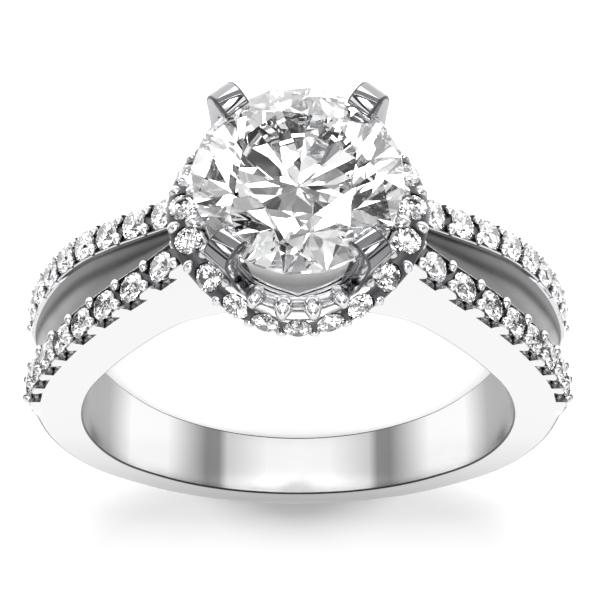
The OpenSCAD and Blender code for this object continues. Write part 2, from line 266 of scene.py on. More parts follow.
# The two side faces are lapped flat, and painted shade darkens them towards the thin bottom of the band.
side_shaded_gold = polished_metal("lapped_white_gold", None, 0.06, 0.12, 0.0001)
shaded_along(side_shaded_gold, "Y", (
    (3, "#F6F6F6"), (5.35, "#F4F4F4"), (7.7, "#E6E6E6"), (10.05, "#CCCCCC"), (12.4, "#ACACAC")))
BAND_FINISHES = (white_gold, satin_shaded_gold, burred_shaded_gold, bored_reflection_gold, edge_shaded_gold, groove_shaded_gold, side_shaded_gold)
POLISHED, SATIN, BURRED, BORED, EDGE, GROOVE, LAPPED = range(7)


def half_section(angle):
    """Half of the band's section, from the finger hole's edge to the middle of the outside.
    Each row is (radius, half width, finish of the face from here to the next point)."""
    turn = min(angle, strap_start)
    outer = outer_r(turn)
    hole_half_w = band_bottom_w / 2 + section_value(1, turn)
    spacing = rail_spacing(turn)
    share = 0 if turn < groove_start else max(0, section_value(4, turn))
    strap = min(1, max(0, angle - strap_start) / strap_blend)
    outer += (strap_outer_r - outer) * strap
    hole_half_w += (strap_half_w - hole_half_w) * strap
    spacing += (strap_half_w - rail_w / 2 - spacing) * strap
    share *= 1 - strap
    edge = spacing + rail_w / 2
    inside = max(groove_least_half_w, spacing - rail_w / 2)
    rounding = max(rail_least_edge, rail_inner_edge * share)
    ground = ground_sink * min(1, max(0, (turn - ground_start) / ground_blend)) * (1 - strap)
    ground_finish = BURRED if ground > 0 else POLISHED
    edge_finish = LAPPED if ground > 0 else SATIN
    groove_finish = GROOVE if share > 0 else POLISHED
    outer_foot = edge - band_edge - ground_slope
    inner_foot = inside + rounding + ground_slope
    bore_corner = arc(hole_r + bore_edge, hole_half_w - bore_edge, bore_edge, 180, 90, small_edge_steps)
    points = [(r, w, EDGE) for r, w in bore_corner[:-1]]
    side_low = (hole_r + bore_edge, hole_half_w)
    side_high = (outer - band_edge, edge)
    for k in range(side_steps):
        points.append(tuple(a + (b - a) * k / side_steps for a, b in zip(side_low, side_high)) + (LAPPED,))
    outer_corner = arc(outer - band_edge, edge - band_edge, band_edge, 90, 0, edge_steps)
    points += [(r, w, edge_finish) for r, w in outer_corner]
    points += [(outer - ground, w, ground_finish)
               for w in (outer_foot, (outer_foot + inner_foot) / 2, inner_foot)]
    inner_corner = arc(outer - rounding, inside + rounding, rounding, 0, -90, small_edge_steps)
    points += [(r, w, POLISHED) for r, w in inner_corner]
    depth = max(0, groove_depth * share - rounding)
    for k in range(1, groove_steps + 1):
        across = math.cos(math.pi / 2 * k / groove_steps)
        drop = depth * (1 - across ** groove_bowl) ** (1 / groove_bowl)
        points.append((outer - rounding - drop, inside * across, groove_finish))
    return points


# Points closer than this are one point.
double_mm = 1e-5


def facing_out(mesh):
    """Merges double points and turns every face outwards."""
    edited = bmesh.new()
    edited.from_mesh(mesh)
    bmesh.ops.remove_doubles(edited, verts=edited.verts, dist=double_mm)
    bmesh.ops.recalc_face_normals(edited, faces=edited.faces)
    edited.to_mesh(mesh)
    edited.free()


def swept_mesh(name, rings, finishes=None):
    """Closed skin over rings of points that come back to the first ring.
    Finishes, one row for each ring, number the material of each of its faces."""
    count = len(rings[0])
    vertices = [point for ring in rings for point in ring]
    faces = []
    for i in range(len(rings)):
        here = i * count
        there = (i + 1) % len(rings) * count
        for j in range(count):
            k = (j + 1) % count
            faces.append((here + j, here + k, there + k, there + j))
    mesh = bpy.data.meshes.new(name)
    mesh.from_pydata(vertices, [], faces)
    if finishes:
        mesh.polygons.foreach_set("material_index", [number for row in finishes for number in row])
    facing_out(mesh)
    return mesh


band_step = 1.5
band_rings = []
band_finishes = []
for k in range(round(360 / band_step)):
    angle = k * band_step
    turn = math.radians(angle)
    half = half_section(min(angle, 360 - angle))
    whole = [(r, w) for r, w, _ in half] + [(r, -w) for r, w, _ in reversed(half[:-1])]
    band_rings.append([(r * math.sin(turn), w, -r * math.cos(turn)) for r, w in whole])
    there = [finish for _, _, finish in half[:-1]]
    band_finishes.append(there + there[::-1] + [BORED])
band_mesh = swept_mesh("band_blank", band_rings, band_finishes)
for finish in BAND_FINISHES:
    band_mesh.materials.append(finish)

# Seats
# Where each small stone sits, the setter drills a cone, and cuts a notch through the outer
# edge of the rail below it, which leaves a row of round-topped pillars between the stones.
row_count = 8
row_first_angle = 156
row_step = 7.25
rail_stone_d = 1.15
seat_gap = 0.03
rail_sink = 0.04


def frame_at(point, up, side):
    """A frame with z along up, and y along side as far as that is square to it."""
    up = up.normalized()
    across = (side - up * side.dot(up)).normalized()
    axes = Matrix((across.cross(up), across, up)).transposed().to_4x4()
    axes.translation = point
    return axes


def on_rail(index, side_x, side_y):
    """Frame on the top of a rail: z away from the metal, y to the rail's outer side."""
    angle = row_first_angle - row_step * index
    turn = math.radians(180 - angle)
    tilt = turn + rail_slope(angle)
    point = Vector((side_x * outer_r(angle) * math.sin(turn), side_y * rail_spacing(angle),
                    outer_r(angle) * math.cos(turn)))
    return frame_at(point, Vector((side_x * math.sin(tilt), 0, math.cos(tilt))), Vector((0, side_y, 0)))


def linked(name, data):
    """An object of a mesh, lamp or camera, put in the scene."""
    made = bpy.data.objects.new(name, data)
    bpy.context.scene.collection.objects.link(made)
    return made


def points_object(name, frames):
    """A mesh of loose points that carries each frame's turn."""
    mesh = bpy.data.meshes.new(name)
    mesh.from_pydata([f.translation for f in frames], [], [])
    turns = mesh.attributes.new("turn", "FLOAT_VECTOR", "POINT")
    for item, f in zip(turns.data, frames):
        item.vector = f.to_euler()
    return linked(name, mesh)


def setting_tree():
    """Puts a shape on every point, turned as the point says and by a random turn of its own."""
    tree = bpy.data.node_groups.new("set_on_points", "GeometryNodeTree")
    sockets = {}
    for name, kind in (("Places", "NodeSocketGeometry"), ("Shape", "NodeSocketObject"),
                       ("Size", "NodeSocketFloat"), ("Random turn", "NodeSocketFloat"),
                       ("Seed", "NodeSocketInt"), ("Finish", "NodeSocketMaterial"),
                       ("Refinish", "NodeSocketBool")):
        sockets[name] = tree.interface.new_socket(name, in_out="INPUT", socket_type=kind).identifier
    tree.interface.new_socket("Set", in_out="OUTPUT", socket_type="NodeSocketGeometry")
    given = add_node(tree, "NodeGroupInput").outputs
    turn = add_node(tree, "GeometryNodeInputNamedAttribute", {"Name": "turn"},
                    data_type="FLOAT_VECTOR")
    facing = add_node(tree, "FunctionNodeEulerToRotation", {"Euler": turn.outputs["Attribute"]})
    shape = add_node(tree, "GeometryNodeObjectInfo", {"Object": given["Shape"]})
    placed = add_node(tree, "GeometryNodeInstanceOnPoints", {
        "Points": given["Places"], "Instance": shape.outputs["Geometry"],
        "Rotation": facing.outputs["Rotation"], "Scale": given["Size"]})
    chance = add_node(tree, "FunctionNodeRandomValue", {
        "Max": given["Random turn"], "Seed": given["Seed"]})
    spin = add_node(tree, "ShaderNodeCombineXYZ", {"Z": chance.outputs[1]})
    turned = add_node(tree, "GeometryNodeRotateInstances", {
        "Instances": placed.outputs["Instances"], "Rotation": spin.outputs["Vector"]})
    solid = add_node(tree, "GeometryNodeRealizeInstances", {"Geometry": turned.outputs["Instances"]})
    finished = add_node(tree, "GeometryNodeSetMaterial", {
        "Geometry": solid.outputs["Geometry"], "Material": given["Finish"], "Selection": given["Refinish"]})
    add_node(tree, "NodeGroupOutput", {"Set": finished.outputs["Geometry"]})
    return tree, sockets


set_on_points, set_inputs = setting_tree()


def plain_mesh(carrier, name):
    """The evaluated shape of an object as a plain mesh object; the carrier is removed."""
    bpy.context.view_layer.update()
    graph = bpy.context.evaluated_depsgraph_get()
    mesh = bpy.data.meshes.new_from_object(carrier.evaluated_get(graph))
    mesh.name = name
    made = linked(name, mesh)
    bpy.data.objects.remove(carrier)
    return made


def set_shapes(name, frames, shape, material, size=1, random_turn=0, seed=0):
    """One plain mesh of a shape repeated on all the frames. With no material it keeps its own."""
    carrier = points_object(name + "_places", frames)
    modifier = carrier.modifiers.new("set", "NODES")
    modifier.node_group = set_on_points
    for key, value in (("Shape", shape), ("Size", float(size)), ("Random turn", float(random_turn)),
                       ("Seed", seed), ("Finish", material), ("Refinish", material is not None)):
        modifier[set_inputs[key]] = value
    return plain_mesh(carrier, name)


def shape_object(name, mesh):
    """A shape to be repeated. It is kept out of the scene."""
    return bpy.data.objects.new(name, mesh)


def lathe_mesh(name, profile, steps):
    """Closed solid of revolution about z from (radius, height) points, axis to axis."""
    made = bmesh.new()
    rings = []
    for radius, height in profile:
        if radius == 0:
            rings.append([made.verts.new((0, 0, height))])
            continue
        turns = [2 * math.pi * k / steps for k in range(steps)]
        rings.append([made.verts.new((radius * math.cos(t), radius * math.sin(t), height)) for t in turns])
    for low, high in zip(rings, rings[1:]):
        for k in range(steps):
            corners = [low[k % len(low)], low[(k + 1) % len(low)],
                       high[(k + 1) % len(high)], high[k % len(high)]]
            made.faces.new(list(dict.fromkeys(corners)))
    bmesh.ops.recalc_face_normals(made, faces=made.faces)
    mesh = bpy.data.meshes.new(name)
    made.to_mesh(mesh)
    made.free()
    return mesh


def prism_mesh(name, near, far):
    """Closed prism between two outlines of as many points."""
    count = len(near)
    faces = [tuple(range(count)), tuple(range(2 * count - 1, count - 1, -1))]
    for k in range(count):
        faces.append((k, (k + 1) % count, (k + 1) % count + count, k + count))
    mesh = bpy.data.meshes.new(name)
    mesh.from_pydata(near + far, [], faces)
    facing_out(mesh)
    return mesh


# A seat is a cone for the stone's pavilion, a short straight wall at its girdle and a clear mouth above.
pavilion_share = 0.43
seat_tip_gap = 0.06
seat_tip_r = 0.1
seat_wall_low = -0.03
seat_wall_high = 0.12
seat_mouth_flare = 0.08
seat_mouth_high = 0.6
seat_sides = 32


def seat_for(stone_d):
    seat_r = stone_d / 2 + seat_gap
    bottom = -stone_d * pavilion_share - seat_tip_gap
    return shape_object("seat", lathe_mesh("seat", [
        (0, bottom), (seat_tip_r, bottom), (seat_r, seat_wall_low), (seat_r, seat_wall_high),
        (seat_r + seat_mouth_flare, seat_mouth_high), (0, seat_mouth_high)], seat_sides))


# The setter brightens the notches with a fine graver, and shade is painted into their corners.
notch_gold = polished_metal("graved_white_gold", ("#DADADC", "#CACACC"), 0.2, 0.3, 0.0004, 0.12)
# A notch is flat below, upright at its sides, and round under the heads of the two pillars.
notch_depth = 0.46
notch_half_w = 0.44
notch_top = 0.5
notch_top_half_w = 0.59
notch_inset = 0.3
notch_reach = 1.1
pillar_r = 0.2
pillar_steps = 6
notch_side = [(notch_half_w, -notch_depth)]
for k in range(pillar_steps + 1):
    turn = math.pi / 2 * k / pillar_steps
    notch_side.append((notch_top_half_w - pillar_r * math.cos(turn), -pillar_r + pillar_r * math.sin(turn)))
notch_side.append((notch_top_half_w, notch_top))
notch_outline = [(-notch_half_w, -notch_depth)] + notch_side + [(-x, z) for x, z in reversed(notch_side[1:])]
notch_ends = [[(x, y, z) for x, z in notch_outline] for y in (notch_inset, notch_reach)]
notch_shape = shape_object("notch", prism_mesh("notch", *notch_ends))

sides = [(side_x, side_y) for side_x in (-1, 1) for side_y in (-1, 1)]
rail_frames = {side: [on_rail(index, *side) for index in range(row_count)] for side in sides}
all_rail_frames = [f for side in sides for f in rail_frames[side]]
rail_sunk = Matrix.Translation((0, 0, -rail_sink))


def cut_away(name, blank, cutters):
    """The blank less each of the cutters, as a plain mesh object."""
    for cutter in cutters:
        modifier = blank.modifiers.new("cut", "BOOLEAN")
        modifier.operation = "DIFFERENCE"
        modifier.solver = "EXACT"
        modifier.material_mode = "TRANSFER"
        modifier.object = cutter
    made = plain_mesh(blank, name)
    for cutter in cutters:
        bpy.data.objects.remove(cutter)
    return made


def metal_piece(piece, sharp_degrees=30, finish=white_gold):
    """Lays a finished metal piece in the frame, and gives it the mounting's finish and place."""
    mesh = piece.data
    mesh.transform(LAID)
    if not mesh.materials:
        mesh.materials.append(finish)
    mesh.polygons.foreach_set("use_smooth", [True] * len(mesh.polygons))
    mesh.set_sharp_from_angle(angle=math.radians(sharp_degrees))
    mesh.update()
    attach(piece, "root")
    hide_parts("mounting")


band = cut_away("band", linked("band_blank", band_mesh), [
    set_shapes("rail_seats", [f @ rail_sunk for f in all_rail_frames], seat_for(rail_stone_d), burred_shaded_gold),
    set_shapes("rail_notches", all_rail_frames, notch_shape, notch_gold)])
metal_piece(band)

# Collar
# A round wire bent to a ring round the head, with a soft point at front, back and sides. It
# carries twenty stones, which face up at the sides and turn outwards at front and back.
# Shade is painted into the hollows round its beads, which draws their outlines.
beaded_gold = polished_metal("beaded_white_gold", ("#F2F2F3", "#E8E8EA"), 0.13, 0.2, 0.0002, 0.45)
collar_z = hole_r + 4.45
collar_r = 3.82
collar_tube_r = 0.64
collar_point = 0.1
collar_sink = 0.12
collar_stone_d = 1.0
# Azimuths of the stones in a quarter of the collar, from its front
quarter = [0, 14.5, 30, 49, 71, 90]
# How far a stone leans outwards at the side and at the front, and how far the burr's dark painted shade
# reaches inwards and outwards from the stones' line, all in degrees round the wire
collar_lean_side = 5
collar_lean_front = 88
collar_ground_lean = (-34, 86)
collar_steps = 144
collar_sides = 32
ring_azimuths = [360 * k / collar_steps for k in range(collar_steps)]


def collar_centre_r(azimuth):
    return collar_r + collar_point * math.cos(math.radians(4 * azimuth))


def lean_between(at_side, at_front, azimuth):
    return at_side + (at_front - at_side) * math.cos(math.radians(azimuth)) ** 2


def collar_lean(azimuth):
    return lean_between(collar_lean_side, collar_lean_front, azimuth)


def head_point(azimuth, radius, height):
    """Point at an azimuth round the head, from 0 at its front."""
    turn = math.radians(azimuth)
    return Vector((radius * math.sin(turn), -radius * math.cos(turn), height))


def on_collar(azimuth, lean):
    """Frame on the collar's wire: z away from the metal, y outwards and down."""
    tip = math.radians(lean)
    radius = collar_centre_r(azimuth) + collar_tube_r * math.sin(tip)
    point = head_point(azimuth, radius, collar_z + collar_tube_r * math.cos(tip))
    up = head_point(azimuth, math.sin(tip), math.cos(tip))
    return frame_at(point, up, head_point(azimuth, math.cos(tip), -math.sin(tip)))


def wire_ring(azimuth, centre_r, centre_z, wire_r, count):
    """Section of a wire that goes round the head."""
    turns = [2 * math.pi * (k + 0.5) / count for k in range(count)]
    return [head_point(azimuth, centre_r + wire_r * math.sin(t), centre_z + wire_r * math.cos(t))
            for t in turns]


collar_mesh = swept_mesh("collar_blank", [
    wire_ring(a, collar_centre_r(a), collar_z, collar_tube_r, collar_sides) for a in ring_azimuths])
collar_mesh.materials.append(beaded_gold)
collar_mesh.materials.append(burred_shaded_gold)
for polygon in collar_mesh.polygons:
    x, y, z = polygon.center
    azimuth = math.degrees(math.atan2(x, -y))
    lean = math.degrees(math.atan2(math.hypot(x, y) - collar_centre_r(azimuth), z - collar_z))
    past_stones = lean - collar_lean(azimuth)
    polygon.material_index = int(collar_ground_lean[0] < past_stones < collar_ground_lean[1])
front_azimuths = [-a for a in reversed(quarter[1:])] + quarter
back_azimuths = [180 - a for a in reversed(quarter[1:-1])] + [180 + a for a in quarter[:-1]]
all_azimuths = front_azimuths + back_azimuths
collar_sunk = Matrix.Translation((0, 0, -collar_sink))
collar_frames = {a: on_collar(a, collar_lean(a)) @ collar_sunk for a in all_azimuths}
collar = cut_away("collar", linked("collar_blank", collar_mesh), [
    set_shapes("collar_seats", list(collar_frames.values()), seat_for(collar_stone_d), burred_shaded_gold)])
metal_piece(collar)

# Gallery dish
# A brushed dish inside the collar, below the centre stone, on a short foot that is soldered to
# the band. Two thin wires run round its rim, inside the collar.
# Brushing leaves the dish pale and soft, with no clear mirror. A painted shadow darkens it under the centre
# stone's front edge, and it clears towards the front point of its rim.
dish_shaded_gold = polished_metal("brushed_white_gold", None, 0.28, 0.38, 0.0002)
shaded_along(dish_shaded_gold, "Z", (
    (5.5, "#F2F2F2"), (5.9, "#E0E0E0"), (6.3, "#B0B0B0"), (6.7, "#909090"), (7.1, "#A4A4A4"),
    (7.5, "#D4D4D4"), (7.9, "#F6F6F6")))
dish_rim_z = collar_z + 0.15
dish_base_z = hole_r + 1.2
dish_base_r = 1.7
dish_foot_flare = 0.1
dish_foot_h = 1
dish_belly_low = 0.5
dish_belly_out = 0.45
dish_bowl_depth = 1.8
dish_bowl_power = 1.2
dish_bowl_steps = 14
dish_sides = 144
rim_least_r = 2.9
rim_point = 0.38
rim_sharpness = 0.45
rim_softness = 0.03


def rim_r(azimuth):
    """Radius of the dish's rim, which comes to a point at front, back and sides."""
    turn = math.hypot(math.sin(math.radians(2 * azimuth)), rim_softness)
    return rim_least_r + rim_point * (1 - min(1, turn) ** rim_sharpness)


dish_profile = [
    (0, dish_base_z), (dish_base_r, dish_base_z),
    (dish_base_r + dish_foot_flare, dish_base_z + dish_foot_h),
    (rim_least_r, collar_z - dish_belly_low), (rim_least_r + dish_belly_out, collar_z),
    (rim_least_r, dish_rim_z)]
for k in range(1, dish_bowl_steps + 1):
    turn = math.pi / 2 * k / dish_bowl_steps
    dish_profile.append((rim_least_r * math.cos(turn) if k < dish_bowl_steps else 0,
                         dish_rim_z - dish_bowl_depth * math.sin(turn) ** dish_bowl_power))
dish_mesh = lathe_mesh("gallery_dish", dish_profile, dish_sides)
for vertex in dish_mesh.vertices:
    x, y, z = vertex.co
    out = math.hypot(x, y) / rim_least_r
    swell = 1 + (rim_r(math.degrees(math.atan2(x, -y))) / rim_least_r - 1) * out ** 2
    vertex.co = (x * swell, y * swell, z)
# Round pieces look smooth across edges that turn by less than this.
round_degrees = 60
metal_piece(linked("gallery_dish", dish_mesh), round_degrees, dish_shaded_gold)

# columns: distance outside the dish's rim, rise above it, radius of the wire
RIM_WIRES = ((0.05, 0.04, 0.055), (0.26, 0.16, 0.075))
rim_wire_sides = 12
for number, (out, rise, wire_r) in enumerate(RIM_WIRES):
    rim_mesh = swept_mesh("rim_wire", [
        wire_ring(a, rim_r(a) + out, dish_rim_z + rise, wire_r, rim_wire_sides) for a in ring_azimuths])
    metal_piece(linked(f"rim_wire_{number + 1}", rim_mesh), round_degrees, beaded_gold)

# Claws
# Four square bars that rise out of the dish and splay to the girdle. Their tips are bent over the
# crown and filed round from the outside to the tip, with crisp edges left on both sides.
# columns: distance from the middle of the head, rise above the finger hole's edge, half width
CLAW_OUTLINE = [
    (2.60, 3.30, 0.75),
    (3.02, 4.65, 0.66),
    (3.27, 6.15, 0.54),
    (3.30, 7.10, 0.52),
    (3.14, 7.44, 0.50),
    (3.30, 7.62, 0.50),
    (3.56, 7.75, 0.50),
    (3.82, 7.78, 0.50),
    (4.06, 7.70, 0.51),
    (4.24, 7.52, 0.51),
    (4.32, 7.25, 0.52),
    (4.30, 6.95, 0.52),
    (4.12, 6.15, 0.54),
    (3.78, 4.65, 0.66),
    (3.40, 3.30, 0.75),
]
# The sides and the back stay satin, with a painted grey shade, the filed tip between two rows of the outline
# is polished, and the bevelled edges keep the file's marks, darkened by painted shade.
claw_shaded_gold = polished_metal("satin_claw_white_gold", ("#9E9EA0", "#868688"), 0.1, 0.16, 0.0004)
CLAW_FINISHES = (white_gold, claw_shaded_gold, burred_shaded_gold)
TIP, BAR, BEVEL = range(3)
CLAW_TIP = (3, 7)
claw_azimuth = 40
claw_bevel = 0.08
claw_bevel_steps = 3
claw_bevel_degrees = 50
claw_flanks = [[(side * half_w, -reach, hole_r + rise) for reach, rise, half_w in CLAW_OUTLINE]
               for side in (-1, 1)]
claw_mesh = prism_mesh("claw", *claw_flanks)
# The claw's first two faces are its flanks, and the others follow the outline.
tip_faces = range(len(claw_flanks) + CLAW_TIP[0], len(claw_flanks) + CLAW_TIP[1])
claw_mesh.polygons.foreach_set("material_index", [
    TIP if k in tip_faces else BAR for k in range(len(claw_mesh.polygons))])
for finish in CLAW_FINISHES:
    claw_mesh.materials.append(finish)
claw_blank = linked("claw_blank", claw_mesh)
rounding = claw_blank.modifiers.new("rounding", "BEVEL")
rounding.width = claw_bevel
rounding.segments = claw_bevel_steps
rounding.limit_method = "ANGLE"
rounding.angle_limit = math.radians(claw_bevel_degrees)
rounding.material = BEVEL
claw_shape = plain_mesh(claw_blank, "claw_shape")
bpy.context.scene.collection.objects.unlink(claw_shape)
claw_azimuths = (claw_azimuth, -claw_azimuth, 180 - claw_azimuth, 180 + claw_azimuth)
claw_turns = [Matrix.Rotation(math.radians(azimuth), 4, "Z") for azimuth in claw_azimuths]

# The centre stone that they hold. Its proportions are those of every stone on the ring.
centre_stone_d = 7.3
girdle_z = hole_r + 6.9
girdle_share = 0.02
crown_share = 0.15
table_share = 0.57
star_share = 0.55
half_facet = math.pi / 8


def star_corner(d):
    """Radius and height of the star corners of a brilliant, from the middle of its girdle."""
    inner_r = d / 2 * table_share * math.cos(half_facet)
    corner_r = inner_r + star_share * (d / 2 - inner_r)
    slope = 2 * crown_share / (1 - table_share)
    return corner_r, d * girdle_share / 2 + slope * (d / 2 - corner_r * math.cos(half_facet))


# The claws are cut back to the stone's outline of revolution, grown by the seat gap.
star_r, star_z = star_corner(centre_stone_d)
space_r = centre_stone_d / 2 + seat_gap
space_girdle = centre_stone_d * girdle_share / 2 + seat_gap
space_top = centre_stone_d * crown_share + space_girdle
stone_space_sides = 96
stone_space = lathe_mesh("stone_space", [
    (0, -centre_stone_d * pavilion_share - space_girdle), (space_r, -space_girdle), (space_r, space_girdle),
    (star_r + seat_gap, star_z + seat_gap), (centre_stone_d / 2 * table_share + seat_gap, space_top),
    (0, space_top)], stone_space_sides)
stone_space.transform(Matrix.Translation((0, 0, girdle_z)))
claws = cut_away("claws", set_shapes("claw_blanks", claw_turns, claw_shape, None),
                 [linked("stone_space", stone_space)])
metal_piece(claws)

# Beads
# Small grains of the same metal, raised with a graver at the edge of each seat and rounded with
# a beading tool, which hold the small stones: two between neighbours.
bead_stretch = 1.35
groove_bead_r = 0.18
pillar_bead_r = 0.21
rail_bead_rise = 0.22
groove_bead_spread = 0.42
pillar_bead_spread = 0.34
inner_bead_r = 0.32
inner_bead_rise = 0.29
outer_bead_r = 0.21
outer_bead_rise = 0.15
bead_root = 1.2
bead_steps = 6
bead_sides = 20
bead_profile = [(0, -bead_root), (1, -bead_root)]
for k in range(bead_steps + 1):
    turn = math.pi / 2 * k / bead_steps
    bead_profile.append((math.cos(turn) if k < bead_steps else 0, math.sin(turn)))
oval_bead = lathe_mesh("oval_bead", bead_profile, bead_sides)
oval_bead.transform(Matrix.Diagonal((1, bead_stretch, 1, 1)))
oval_shape = shape_object("oval_bead", oval_bead)
round_shape = shape_object("round_bead", lathe_mesh("round_bead", bead_profile, bead_sides))
bases = [on_rail(step - 0.5, *side) for side in sides for step in range(row_count + 1)]
for word, shape, bead_r, across in (("groove", oval_shape, groove_bead_r, -groove_bead_spread),
                                    ("pillar", round_shape, pillar_bead_r, pillar_bead_spread)):
    frames = [base @ Matrix.Translation((0, across, rail_bead_rise - bead_r)) for base in bases]
    metal_piece(set_shapes(word + "_beads", frames, shape, beaded_gold, bead_r), round_degrees)

# Towards the centre stone the collar's beads are larger, and lean inwards at the sides and up at the
# front. Those outside the small stones are smaller.
inner_lean_side = -40
inner_lean_front = 4
outer_bead_offset = 40
inner_frames = []
outer_frames = []
for azimuth, following in zip(all_azimuths, all_azimuths[1:] + [all_azimuths[0] + 360]):
    middle = (azimuth + following) / 2
    inner = on_collar(middle, lean_between(inner_lean_side, inner_lean_front, middle))
    inner_frames.append(inner @ Matrix.Translation((0, 0, inner_bead_rise - inner_bead_r)))
    outer = on_collar(middle, collar_lean(middle) + outer_bead_offset)
    outer_frames.append(outer @ Matrix.Translation((0, 0, outer_bead_rise - outer_bead_r)))
for word, frames, bead_r in (("inner", inner_frames, inner_bead_r), ("outer", outer_frames, outer_bead_r)):
    beads = set_shapes(f"collar_{word}_beads", frames, oval_shape, beaded_gold, bead_r)
    metal_piece(beads, round_degrees)


# Diamonds
# Colourless diamond, cut and polished. Its refractive index of 2.417 bends light so strongly that
# the back facets throw it out through the top again, in bright and dark patches.
def speckled_material(name, colour, other_colour, grain_mm, settings):
    """A material with faint clouds of a second colour, of a size in millimetres, and the values
    that its shader takes."""
    material = bpy.data.materials.new(name)
    material.use_nodes = True
    tree = material.node_tree
    shader = tree.nodes["Principled BSDF"]
    for key, value in settings.items():
        shader.inputs[key].default_value = value
    places = add_node(tree, "ShaderNodeTexCoord").outputs["Object"]
    clouds = add_node(tree, "ShaderNodeTexNoise", {"Vector": places, "Scale": 1000 / grain_mm, "Detail": 2})
    tint = add_node(tree, "ShaderNodeMix", {
        0: clouds.outputs["Fac"], 6: linear(colour), 7: linear(other_colour)}, data_type="RGBA")
    tree.links.new(tint.outputs[2], shader.inputs["Base Color"])
    return material


# Growth zones about 2 mm across leave the faintest cool tint.
diamond = speckled_material("brilliant_cut_diamond", "#FFFFFF", "#FBFCFE", 2, {
    "Metallic": 0, "Roughness": 0, "IOR": 2.417, "Transmission Weight": 1})
lower_half_share = 0.77


def brilliant_mesh(d):
    """Round brilliant: table, 8 stars, 8 kites and 16 halves above, 8 mains and 16 halves below."""
    r = d / 2
    half_girdle = d * girdle_share / 2
    top = half_girdle + d * crown_share
    star_r, star_z = star_corner(d)
    low_r = r * (1 - lower_half_share)
    low_z = -half_girdle - d * pavilion_share * (1 - low_r * math.cos(half_facet) / r)

    def ring(radius, z, count, turn):
        angles = [2 * math.pi * (k + turn) / count for k in range(count)]
        return [(radius * math.cos(t), radius * math.sin(t), z) for t in angles]

    vertices = (ring(r * table_share, top, 8, 0) + ring(star_r, star_z, 8, 0.5)
                + ring(r, half_girdle, 16, 0) + ring(r, -half_girdle, 16, 0) + ring(low_r, low_z, 8, 0.5)
                + [(0, 0, -half_girdle - d * pavilion_share)])
    star, upper, lower, low, culet = 8, 16, 32, 48, 56
    faces = [tuple(range(8))]
    for k in range(8):
        faces.append((k, (k + 1) % 8, star + k))
        faces.append((k, star + k, upper + 2 * k, star + (k + 7) % 8))
        faces.append((star + k, upper + 2 * k + 1, upper + 2 * k))
        faces.append((star + k, upper + (2 * k + 2) % 16, upper + 2 * k + 1))
        faces.append((low + k, lower + 2 * k, lower + 2 * k + 1))
        faces.append((low + k, lower + 2 * k + 1, lower + (2 * k + 2) % 16))
        faces.append((culet, low + (k + 7) % 8, lower + 2 * k, low + k))
    for k in range(16):
        faces.append((upper + k, upper + (k + 1) % 16, lower + (k + 1) % 16, lower + k))
    mesh = bpy.data.meshes.new("brilliant")
    mesh.from_pydata(vertices, [], faces)
    facing_out(mesh)
    return mesh


def gem_piece(piece, node):
    piece.data.transform(LAID)
    piece.data.update()
    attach(piece, "root")
    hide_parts(node)


centre_stone = frame["nodes"]["centre_stone"]
centre_stone.data.materials.clear()
centre_stone.data.materials.append(diamond)

rail_stone = shape_object("rail_stone", brilliant_mesh(rail_stone_d))
collar_stone = shape_object("collar_stone", brilliant_mesh(collar_stone_d))
# The small stones are set as they come, turned by chance up to one of their eight facets.
chance_turn = 2 * half_facet
SIDE_NAMES = {(-1, -1): "front_left", (1, -1): "front_right", (-1, 1): "back_left", (1, 1): "back_right"}
for seed, (side, word) in enumerate(SIDE_NAMES.items()):
    frames = [f @ rail_sunk for f in rail_frames[side]]
    row = set_shapes("row_" + word, frames, rail_stone, diamond, 1, chance_turn, seed)
    gem_piece(row, "shoulder_stones_" + word)
for seed, word, azimuths in ((10, "front", front_azimuths), (11, "back", back_azimuths)):
    frames = [collar_frames[a] for a in azimuths]
    field = set_shapes("field_" + word, frames, collar_stone, diamond, 1, chance_turn, seed)
    gem_piece(field, "collar_stones_" + word)

# Floor
# A light table: a sheet of opal acrylic, cast and sanded matt, whose glow is painted light that stands for
# lamps below it and washes out most of the shadows. The lamps leave clouds about 3 mm across that are too
# faint to see.
opal = speckled_material("opal_acrylic_light_table", "#A8A8A8", "#A5A5A6", 3, {
    "Roughness": 0.9, "Specular IOR Level": 0.1, "Emission Color": linear("#FFFFFF")})
opal_tree = opal.node_tree
# The glow is dimmed in an oval patch behind the band, as painted shade, so that only this keeps a faint
# shadow. The oval is in metres, and its glow grows between two shares of its size.
dim_middle = (0, 0.024, 0)
dim_half_w = 0.0135
dim_half_depth = 0.012
dim_share = 0.7
lit_share = 1.2
dim_glow = 0.03
lit_glow = 0.7
opal_places = add_node(opal_tree, "ShaderNodeTexCoord").outputs["Object"]
from_middle = add_node(opal_tree, "ShaderNodeVectorMath", {0: opal_places, 1: dim_middle},
                       operation="SUBTRACT").outputs["Vector"]
patch_place = add_node(opal_tree, "ShaderNodeVectorMath", {
    0: from_middle, 1: (1 / dim_half_w, 1 / dim_half_depth, 0)}, operation="MULTIPLY").outputs["Vector"]
patch_reach = add_node(opal_tree, "ShaderNodeVectorMath", {0: patch_place},
                       operation="LENGTH").outputs["Value"]
glow = add_node(opal_tree, "ShaderNodeMapRange", {
    "Value": patch_reach, "From Min": dim_share, "From Max": lit_share,
    "To Min": dim_glow, "To Max": lit_glow}, interpolation_type="SMOOTHSTEP").outputs["Result"]
opal_tree.links.new(glow, opal_tree.nodes["Principled BSDF"].inputs["Emission Strength"])
floor_half_w = 0.6
floor_mesh = bpy.data.meshes.new("floor")
floor_mesh.from_pydata([(-floor_half_w, -floor_half_w, 0), (floor_half_w, -floor_half_w, 0),
                        (floor_half_w, floor_half_w, 0), (-floor_half_w, floor_half_w, 0)], [],
                       [(0, 1, 2, 3)])
floor = linked("floor", floor_mesh)
floor_mesh.materials.append(opal)

